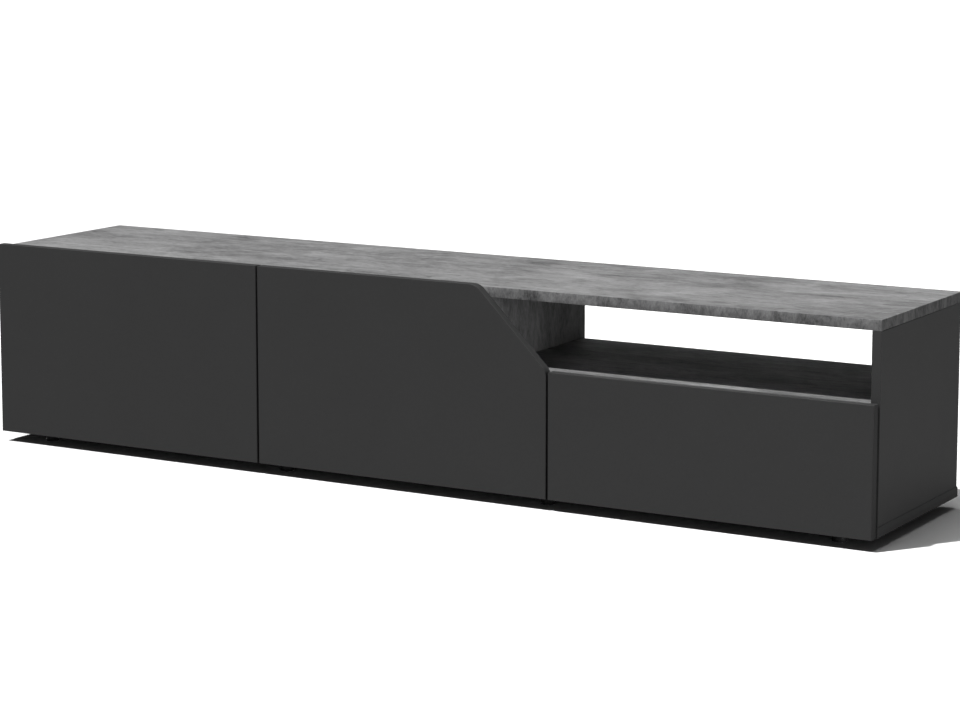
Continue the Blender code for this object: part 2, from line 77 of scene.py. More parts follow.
def add_node(tree, kind, inputs=None, **settings):
    made = tree.nodes.new(kind)
    for key, value in settings.items():
        setattr(made, key, value)
    for key, value in (inputs or {}).items():
        if isinstance(value, bpy.types.NodeSocket):
            tree.links.new(value, made.inputs[key])
        else:
            made.inputs[key].default_value = value
    return made


def show(name, data):
    made = bpy.data.objects.new(name, data)
    bpy.context.scene.collection.objects.link(made)
    return made


def aim(lamp, place, target):
    lamp.location = place
    lamp.rotation_euler = (Vector(target) - Vector(place)).to_track_quat("-Z", "Y").to_euler()


air = bpy.data.worlds.new("studio_air")
air.use_nodes = True
air.node_tree.nodes.clear()
air_path = add_node(air.node_tree, "ShaderNodeLightPath")
air_glow = add_node(air.node_tree, "ShaderNodeBackground", {"Color": WHITE, "Strength": AIR_GLOW})
air_seen = add_node(air.node_tree, "ShaderNodeBackground", {"Color": WHITE, "Strength": AIR_SEEN})
air_mix = add_node(
    air.node_tree,
    "ShaderNodeMixShader",
    {0: air_path.outputs["Is Camera Ray"], 1: air_glow.outputs[0], 2: air_seen.outputs[0]},
)
add_node(air.node_tree, "ShaderNodeOutputWorld", {"Surface": air_mix.outputs[0]})
bpy.context.scene.world = air
bpy.context.scene.view_settings.view_transform = "Standard"

floor_mesh = bmesh.new()
bmesh.ops.create_grid(floor_mesh, x_segments=1, y_segments=1, size=STUDIO_FLOOR_SIZE / 2)
floor_data = bpy.data.meshes.new("studio_floor")
floor_mesh.to_mesh(floor_data)
floor_mesh.free()
studio_floor = show("studio_floor", floor_data)
floor_paint = bpy.data.materials.new("studio_floor_paint")
floor_paint.use_nodes = True
floor_tree = floor_paint.node_tree
floor_tree.nodes.clear()
floor_path = add_node(floor_tree, "ShaderNodeLightPath")
floor_place = add_node(floor_tree, "ShaderNodeTexCoord")
floor_cloud = add_node(
    floor_tree,
    "ShaderNodeTexNoise",
    {"Vector": floor_place.outputs["Object"], "Scale": FLOOR_GRAIN, "Detail": 4.0},
)
floor_rough = add_node(
    floor_tree,
    "ShaderNodeMapRange",
    {"Value": floor_cloud.outputs[0], "To Min": 0.8, "To Max": 0.9},
)
floor_seen = add_node(
    floor_tree,
    "ShaderNodeBsdfDiffuse",
    {"Color": FLOOR_SEEN, "Roughness": floor_rough.outputs[0]},
)
floor_bounce = add_node(floor_tree, "ShaderNodeBsdfDiffuse", {"Color": FLOOR_BOUNCE})
floor_mix = add_node(
    floor_tree,
    "ShaderNodeMixShader",
    {0: floor_path.outputs["Is Camera Ray"], 1: floor_bounce.outputs[0], 2: floor_seen.outputs[0]},
)
add_node(floor_tree, "ShaderNodeOutputMaterial", {"Surface": floor_mix.outputs[0]})
floor_data.materials.append(floor_paint)

key_light = bpy.data.lights.new("key_lamp", "SUN")
key_light.energy = KEY_STRENGTH
key_light.angle = KEY_WIDTH
key_lamp = show("key_lamp", key_light)
aim(key_lamp, -KEY_DISTANCE * KEY_TRAVEL, (0.0, 0.0, 0.0))

flags = {}
for state in ("INCLUDE", "EXCLUDE"):
    flags[state] = bpy.data.collections.new(f"floor_{state.lower()}d")
    flags[state].objects.link(studio_floor)
    flags[state].collection_objects[0].light_linking.link_state = state

for lamp_name, lamp_place, lamp_target, (lamp_width, lamp_height), lamp_power, floor_state in SOFTBOXES:
    softbox = bpy.data.lights.new(lamp_name, "AREA")
    softbox.shape = "RECTANGLE"
    softbox.size = lamp_width
    softbox.size_y = lamp_height
    softbox.energy = lamp_power
    lamp = show(lamp_name, softbox)
    aim(lamp, lamp_place, lamp_target)
    if floor_state:
        lamp.light_linking.receiver_collection = flags[floor_state]

camera_data = bpy.data.cameras.new("camera")
camera_data.lens = CAMERA_LENS
camera_data.shift_y = CAMERA_RISE
camera_data.dof.use_dof = False
camera = show("camera", camera_data)
aim(camera, CAMERA_PLACE, CAMERA_AIM)
bpy.context.scene.camera = camera


# ---- Bottom panel ----
# 18 mm chipboard faced with matt anthracite melamine. Its long edge and its ends are closed with
# a 1 mm plastic band, which leaves a hair-thin seam on both faces. The feet are screwed to it.

EDGE_RADIUS = 0.0005
EDGE_STEPS = 3
SHARP_ANGLE = math.radians(38)
BAND_WIDTH = 0.0011
SEAM_WIDTH = 0.0002
SEAM_DEPTH = 0.00008
PATTERN_TURN = (0.03, 0.04, 0.05)
ANTHRACITE = (0.0375, 0.0375, 0.0376, 1)
ANTHRACITE_WORN = (0.0430, 0.0430, 0.0432, 1)
BAND_ANTHRACITE = (0.0360, 0.0360, 0.0362, 1)
BAND_ANTHRACITE_WORN = (0.0420, 0.0420, 0.0422, 1)


def new_group(name, inputs, outputs):
    """A shared effect: a node group with these inputs, each with its value, and these outputs."""
    tree = bpy.data.node_groups.new(name, "ShaderNodeTree")
    tree.interface.new_socket("Vector", in_out="INPUT", socket_type="NodeSocketVector")
    for label, value in inputs:
        socket = tree.interface.new_socket(label, in_out="INPUT", socket_type="NodeSocketFloat")
        socket.default_value = value
    for label in outputs:
        tree.interface.new_socket(label, in_out="OUTPUT", socket_type="NodeSocketFloat")
    return tree, tree.nodes.new("NodeGroupInput"), tree.nodes.new("NodeGroupOutput")


def noise(tree, vector, scale, detail=4.0, roughness=0.55, distortion=0.0):
    made = add_node(
        tree,
        "ShaderNodeTexNoise",
        {
            "Vector": vector,
            "Scale": scale,
            "Detail": detail,
            "Roughness": roughness,
            "Distortion": distortion,
        },
    )
    return made.outputs[0]


def reckon(tree, operation, first, second, third=0.0):
    made = add_node(tree, "ShaderNodeMath", {0: first, 1: second, 2: third}, operation=operation)
    return made.outputs[0]


def spread(tree, value, low, high, to_low=0.0, to_high=1.0):
    made = add_node(
        tree,
        "ShaderNodeMapRange",
        {"Value": value, "From Min": low, "From Max": high, "To Min": to_low, "To Max": to_high},
    )
    return made.outputs[0]


def laid(tree, vector, turn, scale):
    made = add_node(tree, "ShaderNodeMapping", {"Vector": vector, "Rotation": turn, "Scale": scale})
    return made.outputs[0]


def pearl_grain():
    """The pressed skin of melamine and moulded plastic: fine pearls and soft, uneven gloss."""
    tree, given, result = new_group(
        "pearl_grain",
        (("Grain", 900.0), ("Gloss", 0.5), ("Gloss Spread", 0.06)),
        ("Shade", "Roughness", "Height"),
    )
    place = given.outputs["Vector"]
    pearls = noise(tree, place, given.outputs["Grain"], 2.0)
    ripples = noise(tree, place, reckon(tree, "MULTIPLY", given.outputs["Grain"], 0.24), 3.0)
    wiped = noise(tree, place, 6.5, 5.0, 0.6, 0.7)
    height = reckon(tree, "MULTIPLY_ADD", pearls, 0.6, reckon(tree, "MULTIPLY", ripples, 0.4))
    drift = reckon(tree, "SUBTRACT", wiped, 0.5)
    rough = reckon(tree, "MULTIPLY_ADD", drift, given.outputs["Gloss Spread"], given.outputs["Gloss"])
    sparkle = reckon(tree, "MULTIPLY", reckon(tree, "SUBTRACT", pearls, 0.5), 0.08)
    shade = reckon(tree, "MULTIPLY_ADD", ripples, 0.6, reckon(tree, "MULTIPLY", wiped, 0.4))
    tree.links.new(shade, result.inputs["Shade"])
    tree.links.new(reckon(tree, "ADD", rough, sparkle), result.inputs["Roughness"])
    tree.links.new(height, result.inputs["Height"])
    return tree


def finish(name, group, values, dark, pale, low, high, bump, bump_size, lay=(1, 1, 1), **shader):
    """A finish: the effect's shade runs from the dark to the pale colour, over low to high.

    lay squeezes the pattern along each axis: below 1 it runs long that way.
    """
    paint = bpy.data.materials.new(name)
    paint.use_nodes = True
    tree = paint.node_tree
    tree.nodes.clear()
    place = add_node(tree, "ShaderNodeTexCoord")
    placed = laid(tree, place.outputs["Object"], PATTERN_TURN, lay)
    effect = add_node(tree, "ShaderNodeGroup", node_tree=group)
    tree.links.new(placed, effect.inputs["Vector"])
    for key, value in values.items():
        effect.inputs[key].default_value = value
    amount = spread(tree, effect.outputs["Shade"], low, high)
    colour = add_node(tree, "ShaderNodeMix", {0: amount, 6: dark, 7: pale}, data_type="RGBA")
    relief = add_node(
        tree,
        "ShaderNodeBump",
        {"Strength": bump, "Distance": bump_size, "Height": effect.outputs["Height"]},
    )
    principled = add_node(
        tree,
        "ShaderNodeBsdfPrincipled",
        {
            "Base Color": colour.outputs[2],
            "Roughness": effect.outputs["Roughness"],
            "Normal": relief.outputs[0],
            **{key.replace("_", " "): value for key, value in shader.items()},
        },
    )
    add_node(tree, "ShaderNodeOutputMaterial", {"Surface": principled.outputs[0]})
    return paint


PEARL_GRAIN = pearl_grain()
anthracite_face = finish(
    "anthracite_face",
    PEARL_GRAIN,
    {"Grain": 800.0, "Gloss": 0.50, "Gloss Spread": 0.10},
    ANTHRACITE,
    ANTHRACITE_WORN,
    low=0.2,
    high=0.8,
    bump=0.25,
    bump_size=0.0002,
    Specular_IOR_Level=0.30,
)
anthracite_band = finish(
    "anthracite_band",
    PEARL_GRAIN,
    {"Grain": 1500.0, "Gloss": 0.56, "Gloss Spread": 0.08},
    BAND_ANTHRACITE,
    BAND_ANTHRACITE_WORN,
    low=0.2,
    high=0.8,
    bump=0.15,
    bump_size=0.0001,
    Specular_IOR_Level=0.20,
)


def banded_board(low, high, thin, corner_cut=None):
    """A board with rounded, banded edges. thin is the axis of its thickness."""
    bm = bmesh.new()
    bmesh.ops.create_cube(bm, size=1.0)
    bmesh.ops.scale(bm, vec=high - low, verts=bm.verts)
    bmesh.ops.translate(bm, vec=(low + high) / 2, verts=bm.verts)
    if corner_cut:
        corner_cut(bm)
    rounded = bmesh.ops.bevel(
        bm,
        geom=bm.edges[:],
        offset=EDGE_RADIUS,
        offset_type="OFFSET",
        segments=EDGE_STEPS,
        profile=0.5,
        affect="EDGES",
        clamp_overlap=True,
        material=-1,
    )
    for face in bm.faces:
        face.material_index = 1
        face.smooth = False
    for face in rounded["faces"]:
        face.smooth = True
    big = max(face.calc_area() for face in bm.faces)
    faces = [f for f in bm.faces if abs(f.normal[thin]) > 0.999 and f.calc_area() > 0.5 * big]
    for face in faces:
        for width, depth in (
            (BAND_WIDTH - EDGE_RADIUS, 0.0),
            (SEAM_WIDTH / 2, -SEAM_DEPTH),
            (SEAM_WIDTH / 2, SEAM_DEPTH),
        ):
            bmesh.ops.inset_region(bm, faces=[face], thickness=width, depth=depth, use_even_offset=True)
        face.material_index = 0
    return bm


def piece(name, bm, paints, body, slot, *stands_for):
    """Makes a finished piece: its mesh, finishes and body, and the solids it stands for. Its slot is
    not used.
    """
    data = bpy.data.meshes.new(name)
    bm.to_mesh(data)
    bm.free()
    for paint in paints:
        data.materials.append(paint)
    data.set_sharp_from_angle(angle=SHARP_ANGLE)
    made = show(name, data)
    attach(made, body)
    if stands_for:
        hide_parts(*stands_for)
    return made


bottom_low, bottom_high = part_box("bottom_panel")
piece(
    "bottom_board",
    banded_board(bottom_low, bottom_high, 2),
    (anthracite_face, anthracite_band),
    "carcass",
    "anthracite_melamine",
    "bottom_panel",
)


# ---- Feet ----
# Eight low glides, turned in black plastic with a flange on top and a soft rounded sole.
# A deep hole in the sole takes the screw that holds it.

FOOT_STEPS = 64
PLASTIC_BLACK = (0.010, 0.010, 0.011, 1)
PLASTIC_BLACK_WORN = (0.022, 0.022, 0.023, 1)

black_plastic = finish(
    "black_plastic_skin",
    PEARL_GRAIN,
    {"Grain": 1300.0, "Gloss": 0.46, "Gloss Spread": 0.12},
    PLASTIC_BLACK,
    PLASTIC_BLACK_WORN,
    low=0.25,
    high=0.8,
    bump=0.3,
    bump_size=0.0002,
    Specular_IOR_Level=0.45,
)


def facing(place, axis):
    """Stands a shape that faces up on its place, so that it faces along the axis."""
    turn = Vector(axis).to_track_quat("Z", "Y").to_matrix().to_4x4()
    return Matrix.Translation(Vector(place)) @ turn


def turned(bm, profile, place, axis, steps):
    """Turns a profile of (radius, height) pairs about an axis through place, into the mesh."""
    first = [bm.verts.new((radius, 0.0, height)) for radius, height in profile]
    edges = [bm.edges.new(pair) for pair in zip(first, first[1:])]
    before = set(bm.verts) - set(first)
    bmesh.ops.spin(
        bm,
        geom=first + edges,
        cent=(0, 0, 0),
        axis=(0, 0, 1),
        angle=2 * math.pi,
        steps=steps,
        use_merge=True,
        use_duplicate=False,
    )
    made = [v for v in bm.verts if v not in before]
    bmesh.ops.remove_doubles(bm, verts=made, dist=1e-6)
    made = [v for v in bm.verts if v.is_valid and v not in before]
    faces = list({face for vert in made for face in vert.link_faces})
    bmesh.ops.recalc_face_normals(bm, faces=faces)
    for face in faces:
        face.smooth = True
    bmesh.ops.transform(bm, matrix=facing(place, axis), verts=made)
    return made


for row in ("front", "back"):
    for number in range(1, 5):
        foot_name = f"foot_{row}_{number}"
        foot_low, foot_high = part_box(foot_name)
        foot_middle = (foot_low + foot_high) / 2
        foot_r = (foot_high.x - foot_low.x) / 2
        foot_h = foot_high.z
        foot_profile = (
            (0.0, foot_h),
            (foot_r - 0.0004, foot_h),
            (foot_r, foot_h - 0.0004),
            (foot_r, foot_h - 0.0022),
            (foot_r - 0.0008, foot_h - 0.0030),
            (0.0127, foot_h - 0.0032),
            (0.0124, foot_h - 0.0040),
            (0.0123, 0.0062),
            (0.0119, 0.0058),
            (0.0119, 0.0050),
            (0.0122, 0.0046),
            (0.0120, 0.0012),
            (0.0117, 0.0004),
            (0.0110, 0.0000),
            (0.0052, 0.0000),
            (0.0047, 0.0006),
            (0.0040, 0.0090),
            (0.0030, 0.0100),
            (0.0, 0.0100),
        )
        foot_mesh = bmesh.new()
        turned(foot_mesh, foot_profile, (foot_middle.x, foot_middle.y, 0.0), (0, 0, 1), FOOT_STEPS)
        glide_name = f"glide_{row}_{number}"
        piece(glide_name, foot_mesh, (black_plastic,), "carcass", "black_plastic", foot_name)


# ---- Sides and uprights ----
# 16 mm boards in the same anthracite melamine, stood on the bottom panel and banded all round.
# The ones that carry the worktop have two bores near the top, for the cams.

CAM_BORE_R = 0.0077
CAM_BORE_DEPTH = 0.012
CHIP_DARK = (0.150, 0.095, 0.052, 1)
CHIP_PALE = (0.420, 0.310, 0.190, 1)
# A board's finishes: its face, its band and, as number 2, its bores.
BOARD_FINISHES = 3
BORE_FINISH = 2
# Each board, and the side along X that its bores are on, or 0 where it has none.
UPRIGHT_BOARDS = (("side_left", 1), ("side_right", -1), ("upright_left", -1), ("upright_right", 0))


def fibre_pulp():
    """Pressed wood: short fibres that lie every way, and flakes."""
    tree, given, result = new_group(
        "fibre_pulp", (("Fibre", 60.0), ("Flake", 240.0)), ("Shade", "Roughness", "Height")
    )
    place = given.outputs["Vector"]
    layers = []
    for turn in ((0.2, 0.3, 0.4), (1.1, 0.2, 1.5), (0.4, 1.2, 2.5)):
        lay = laid(tree, place, turn, (1.0, 9.0, 9.0))
        layers.append(noise(tree, lay, given.outputs["Fibre"], 4.0, 0.6, 0.4))
    fibres = reckon(tree, "MAXIMUM", reckon(tree, "MAXIMUM", layers[0], layers[1]), layers[2])
    flakes = add_node(tree, "ShaderNodeTexVoronoi", {"Vector": place, "Scale": given.outputs["Flake"]})
    flake_tone = add_node(tree, "ShaderNodeSeparateColor", {0: flakes.outputs["Color"]}).outputs[0]
    tone = reckon(tree, "MULTIPLY_ADD", flake_tone, 0.35, reckon(tree, "MULTIPLY", fibres, 0.75))
    tree.links.new(spread(tree, tone, 0.35, 0.85), result.inputs["Shade"])
    tree.links.new(spread(tree, fibres, 0.4, 0.8, 0.62, 0.82), result.inputs["Roughness"])
    tree.links.new(tone, result.inputs["Height"])
    return tree


FIBRE_PULP = fibre_pulp()
raw_chipboard = finish(
    "raw_chipboard",
    FIBRE_PULP,
    {"Fibre": 90.0, "Flake": 420.0},
    CHIP_DARK,
    CHIP_PALE,
    low=0.2,
    high=0.8,
    bump=0.5,
    bump_size=0.0005,
    Specular_IOR_Level=0.2,
)


def cut_away(bm, cutters):
    """The first mesh without the room that the second takes. Both are used up."""
    holders = []
    for label, mesh in (("blank", bm), ("cutters", cutters)):
        data = bpy.data.meshes.new(label)
        mesh.to_mesh(data)
        mesh.free()
        for empty_slot in range(BOARD_FINISHES):
            data.materials.append(None)
        holders.append(show(label, data))
    cut = holders[0].modifiers.new("holes", "BOOLEAN")
    cut.operation = "DIFFERENCE"
    cut.solver = "EXACT"
    cut.object = holders[1]
    settled = holders[0].evaluated_get(bpy.context.evaluated_depsgraph_get())
    result = bmesh.new()
    result.from_mesh(settled.data)
    for holder in holders:
        data = holder.data
        bpy.data.objects.remove(holder)
        bpy.data.meshes.remove(data)
    return result


def drilled(bm, spots, axis, radius, depth, paint=BORE_FINISH, steps=40):
    """Blind holes in the mesh: a spot is the middle of a hole's mouth, and axis points out of it."""
    drills = bmesh.new()
    for spot in spots:
        bmesh.ops.create_cone(
            drills,
            cap_ends=True,
            segments=steps,
            radius1=radius,
            radius2=radius,
            depth=2 * depth,
            matrix=facing(spot, axis),
        )
    for face in drills.faces:
        face.material_index = paint
        face.smooth = len(face.verts) == 4
    return cut_away(bm, drills)


def cam_spots(name, face_x):
    """Where the two cams of a board go in, on its face at that x."""
    spots = []
    for row in ("front", "back"):
        low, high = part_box(f"cam_{name}_{row}")
        spots.append((face_x, (low.y + high.y) / 2, (low.z + high.z) / 2))
    return spots


for board_name, bore_side in UPRIGHT_BOARDS:
    board_low, board_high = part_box(board_name)
    board_mesh = banded_board(board_low, board_high, 0)
    if bore_side:
        bore_x = board_high.x if bore_side > 0 else board_low.x
        bore_axis = (bore_side, 0, 0)
        bore_spots = cam_spots(board_name, bore_x)
        board_mesh = drilled(board_mesh, bore_spots, bore_axis, CAM_BORE_R, CAM_BORE_DEPTH)
    piece(
        f"{board_name}_board",
        board_mesh,
        (anthracite_face, anthracite_band, raw_chipboard),
        "carcass",
        "anthracite_melamine",
        board_name,
    )


# ---- Niche shelf, niche wall and worktop ----
# Chipboard with a printed slate decor: clouds of lighter and darker grey, trowel scuffs and small
# pits. The worktop lies on the sides and its edges carry the same print on a 1 mm band. The bands'
# colours are the print painted darker than on the face, as painted shade, and the worktop's two
# ends are painted darker still, as painted shade.

SLATE_DARK = (0.060, 0.060, 0.0605, 1)
SLATE_PALE = (0.284, 0.284, 0.285, 1)
# The band colours are the face print painted darker, as painted shade on the edges, with a little more
# contrast.
SLATE_EDGE_SHADED_DARK = (0.028, 0.028, 0.0284, 1)
SLATE_EDGE_SHADED_PALE = (0.262, 0.262, 0.264, 1)
# The worktop's two ends are painted darker again by this share: painted shade.
SLATE_END_SHADE_SHARE = 0.60
SLATE_END_SHADED_INDEX = 3
# How each trowel's marks are turned, and squeezed along each axis.
TROWEL_MARKS = (((0.0, 0.0, 0.45), (2.0, 26.0, 14.0)), ((0.0, 0.0, -0.75), (2.4, 34.0, 14.0)))
# How the print runs on each board's face, and on its band.
SLATE_LAYS = {
    "worktop": ((0.40, 1.0, 1.0), (0.8, 1.0, 0.45)),
    "niche_shelf": ((0.45, 1.1, 1.0), (0.8, 1.0, 0.45)),
    "niche_wall": ((1.0, 1.3, 0.45), (1.0, 1.0, 0.45)),
}


def slate_print():
    """The printed decor: clouds, blotches, short combed streaks, scuffs drawn by a trowel, and pits."""
    tree, given, result = new_group(
        "slate_print",
        (("Cloud", 5.0), ("Blotch", 16.0), ("Comb", 80.0), ("Gloss", 0.5)),
        ("Shade", "Roughness", "Height"),
    )
    place = given.outputs["Vector"]
    clouds = noise(tree, place, given.outputs["Cloud"], 6.0, 0.60, 0.7)
    blotches = noise(tree, place, given.outputs["Blotch"], 7.0, 0.68, 1.0)
    combed = noise(tree, place, given.outputs["Comb"], 7.0, 0.75, 0.6)
    marks = []
    for turn, stretch in TROWEL_MARKS:
        drawn = noise(tree, laid(tree, place, turn, stretch), 1.6, 5.0, 0.62, 0.5)
        marks.append(spread(tree, drawn, 0.56, 0.72))
    scuffs = reckon(tree, "MAXIMUM", marks[0], marks[1])
    cells = add_node(tree, "ShaderNodeTexVoronoi", {"Vector": place, "Scale": 70.0})
    pit_spots = spread(tree, cells.outputs["Distance"], 0.10, 0.20, 1.0, 0.0)
    pit_patches = spread(tree, noise(tree, place, 9.0, 3.0), 0.50, 0.62)
    pits = reckon(tree, "MULTIPLY", pit_spots, pit_patches)
    speckle = noise(tree, place, reckon(tree, "MULTIPLY", given.outputs["Comb"], 3.0), 3.0, 0.6)
    tone = reckon(tree, "MULTIPLY_ADD", clouds, 0.33, reckon(tree, "MULTIPLY", blotches, 0.34))
    tone = reckon(tree, "MULTIPLY_ADD", combed, 0.25, tone)
    tone = reckon(tree, "MULTIPLY_ADD", speckle, 0.17, tone)
    tone = reckon(tree, "MULTIPLY_ADD", scuffs, 0.07, tone)
    tone = reckon(tree, "MULTIPLY_ADD", pits, -0.10, tone)
    height = reckon(tree, "MULTIPLY_ADD", blotches, 0.5, reckon(tree, "MULTIPLY", combed, 0.35))
    height = reckon(tree, "MULTIPLY_ADD", pits, -0.5, height)
    gloss = spread(tree, tone, 0.3, 0.7, 0.08, -0.05)
    tree.links.new(tone, result.inputs["Shade"])
    tree.links.new(reckon(tree, "ADD", gloss, given.outputs["Gloss"]), result.inputs["Roughness"])
    tree.links.new(height, result.inputs["Height"])
    return tree


SLATE_PRINT = slate_print()


def slate_band(name, lay, share):
    """A banding strip with the same print, in colours painted darker than the face's, as painted shade.
    share darkens it further, as painted shade.
    """
    return finish(
        name,
        SLATE_PRINT,
        {"Cloud": 9.0, "Blotch": 40.0, "Comb": 140.0, "Gloss": 0.60},
        (*(share * value for value in SLATE_EDGE_SHADED_DARK[:3]), 1),
        (*(share * value for value in SLATE_EDGE_SHADED_PALE[:3]), 1),
        low=0.42,
        high=0.66,
        bump=0.20,
        bump_size=0.0004,
        lay=lay,
        Specular_IOR_Level=0.15,
    )


for board_name, thin_axis in (("niche_shelf", 2), ("niche_wall", 0), ("worktop", 2)):
    board_low, board_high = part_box(board_name)
    board_mesh = banded_board(board_low, board_high, thin_axis)
    if board_name == "niche_wall":
        wall_spots = cam_spots("niche_wall", board_low.x)
        board_mesh = drilled(board_mesh, wall_spots, (-1, 0, 0), CAM_BORE_R, CAM_BORE_DEPTH)
    # The worktop's end faces take a darker band: painted shade.
    if board_name == "worktop":
        for face in board_mesh.faces:
            if face.material_index == 1 and abs(face.normal.x) > 0.9:
                face.material_index = SLATE_END_SHADED_INDEX
    face_lay, band_lay = SLATE_LAYS[board_name]
    slate_face = finish(
        f"slate_face_{board_name}",
        SLATE_PRINT,
        {"Cloud": 6.5, "Blotch": 24.0, "Comb": 75.0, "Gloss": 0.66},
        SLATE_DARK,
        SLATE_PALE,
        low=0.40,
        high=0.66,
        bump=0.25,
        bump_size=0.0006,
        lay=face_lay,
        Specular_IOR_Level=0.15,
    )
    slate_paints = [slate_face, slate_band(f"slate_band_{board_name}", band_lay, 1.0), raw_chipboard]
    if board_name == "worktop":
        # The darker band for the worktop's ends: painted shade.
        slate_paints.append(slate_band("slate_end_worktop_painted_shade", band_lay, SLATE_END_SHADE_SHARE))
    piece(
        f"{board_name}_board",
        board_mesh,
        slate_paints,
        "carcass",
        "slate_decor",
        board_name,
    )


# ---- Cams ----
# Eight die-cast zinc discs that turn in the bores and pull the worktop down on its boards.
# Each has a screwdriver slot across its face.

ZINC_DULL = (0.46, 0.47, 0.48, 1)
ZINC_BRIGHT = (0.64, 0.65, 0.66, 1)


def sheet_steel():
    """Plated metal: spangle in patches, drawn lines along the sheet, and dull finger marks."""
    tree, given, result = new_group(
        "sheet_steel",
        (("Spangle", 160.0), ("Gloss", 0.3), ("Gloss Spread", 0.15)),
        ("Shade", "Roughness", "Height"),
    )
    place = given.outputs["Vector"]
    cells = add_node(tree, "ShaderNodeTexVoronoi", {"Vector": place, "Scale": given.outputs["Spangle"]})
    spangle = add_node(tree, "ShaderNodeSeparateColor", {0: cells.outputs["Color"]}).outputs[0]
    drawn = noise(tree, laid(tree, place, (0, 0, 0), (900.0, 14.0, 900.0)), 1.0, 3.0)
    marks = noise(tree, place, 30.0, 4.0, 0.6, 0.6)
    tone = reckon(tree, "MULTIPLY_ADD", spangle, 0.35, reckon(tree, "MULTIPLY", drawn, 0.35))
    tone = reckon(tree, "MULTIPLY_ADD", marks, 0.30, tone)
    drift = reckon(tree, "SUBTRACT", tone, 0.5)
    rough = reckon(tree, "MULTIPLY_ADD", drift, given.outputs["Gloss Spread"], given.outputs["Gloss"])
    tree.links.new(tone, result.inputs["Shade"])
    tree.links.new(rough, result.inputs["Roughness"])
    tree.links.new(reckon(tree, "MULTIPLY_ADD", drawn, 0.7, spangle), result.inputs["Height"])
    return tree


SHEET_STEEL = sheet_steel()
zinc_plate = finish(
    "zinc_plate",
    SHEET_STEEL,
    {"Spangle": 170.0, "Gloss": 0.42, "Gloss Spread": 0.20},
    ZINC_DULL,
    ZINC_BRIGHT,
    low=0.2,
    high=0.8,
    bump=0.12,
    bump_size=0.0001,
    Metallic=0.70,
)


def refinish(node_name, paint):
    """A solid whose shape is right keeps it, and gets the finish."""
    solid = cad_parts[node_name]
    solid.data.materials.clear()
    solid.data.materials.append(paint)


for board_name in ("side_left", "side_right", "upright_left", "niche_wall"):
    for row in ("front", "back"):
        refinish(f"cam_{board_name}_{row}", zinc_plate)


# ---- Backs ----
# Three sheets of 3 mm hardboard, lacquered dark, in the recess behind the sides.
# They are nailed to the boards all round, about every 110 mm.

NAIL_R = 0.0022
NAIL_PROUD = 0.0006
NAIL_SUNK = 0.0002
NAIL_SPACING = 0.110
NAIL_INSET = 0.006
NAIL_STEPS = 12
NAIL_FROM_SEAM = 0.0045
NAIL_IN_SHELF = 0.004
NAIL_ABOVE_SHELF = 0.020
NAIL_FROM_WALL = 0.040
NAIL_FROM_END = 0.050
HARDBOARD_DARK = (0.030, 0.030, 0.030, 1)
HARDBOARD_PALE = (0.070, 0.069, 0.067, 1)

dark_hardboard = finish(
    "dark_hardboard_sheet",
    FIBRE_PULP,
    {"Fibre": 70.0, "Flake": 260.0},
    HARDBOARD_DARK,
    HARDBOARD_PALE,
    low=0.1,
    high=0.9,
    bump=0.35,
    bump_size=0.0004,
    Specular_IOR_Level=0.35,
)
for sheet_name in ("back_left", "back_middle", "back_right"):
    refinish(sheet_name, dark_hardboard)


def nail_run(bm, start, end, y):
    """A row of nails from start to end, which are (x, z) pairs, at an even spacing."""
    start = Vector(start)
    end = Vector(end)
    count = max(1, round((end - start).length / NAIL_SPACING))
    for step in range(count + 1):
        spot = start.lerp(end, step / count)
        profile = (
            (NAIL_R, -NAIL_SUNK),
            (NAIL_R, NAIL_PROUD * 0.4),
            (NAIL_R * 0.8, NAIL_PROUD * 0.8),
            (NAIL_R * 0.4, NAIL_PROUD),
            (0.0, NAIL_PROUD),
        )
        turned(bm, profile, (spot.x, y, spot.y), (0, 1, 0), NAIL_STEPS)


sheet_low, sheet_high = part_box("back_left")
right_low, right_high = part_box("back_right")
shelf_low, shelf_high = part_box("niche_shelf")
wall_low, wall_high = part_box("niche_wall")
nails_mesh = bmesh.new()
nails_y = sheet_high.y
nail_left = sheet_low.x + NAIL_INSET
nail_right = right_high.x - NAIL_INSET
nail_bottom = sheet_low.z + NAIL_INSET
nail_top = sheet_high.z - NAIL_INSET
nail_shelf = shelf_low.z + NAIL_IN_SHELF
nail_wall = (wall_low.x + wall_high.x) / 2
NAIL_RUNS = (
    ((nail_left, nail_bottom), (nail_left, nail_top)),
    ((sheet_high.x - NAIL_FROM_SEAM, nail_bottom), (sheet_high.x - NAIL_FROM_SEAM, nail_top)),
    ((sheet_high.x + NAIL_FROM_SEAM, nail_bottom), (sheet_high.x + NAIL_FROM_SEAM, nail_top)),
    ((nail_wall, nail_shelf + NAIL_ABOVE_SHELF), (nail_wall, nail_top)),
    ((right_low.x - NAIL_FROM_SEAM, nail_bottom), (right_low.x - NAIL_FROM_SEAM, nail_shelf)),
    ((right_low.x + NAIL_FROM_SEAM, nail_bottom), (right_low.x + NAIL_FROM_SEAM, nail_shelf)),
    ((nail_right, nail_bottom), (nail_right, nail_shelf)),
    ((wall_high.x + NAIL_FROM_WALL, nail_shelf), (nail_right - NAIL_FROM_END, nail_shelf)),
)
for run_start, run_end in NAIL_RUNS:
    nail_run(nails_mesh, run_start, run_end, nails_y)
piece("back_nails", nails_mesh, (zinc_plate,), "carcass", "zinc_steel")


# ---- Doors and drawer front ----
# 18 mm fronts in matt anthracite melamine without handles: a push opens them. The middle door's
# upper corner is sawn off at 45 degrees and banded like the rest. The doors are bored for cups.

CORNER_CUT = 0.140
CORNER_SOFT = 0.010
CORNER_STEPS = 5
CORNER_REACH = CORNER_CUT + 0.001
CUP_BORE_R = 0.0175
CUP_BORE_DEPTH = 0.012


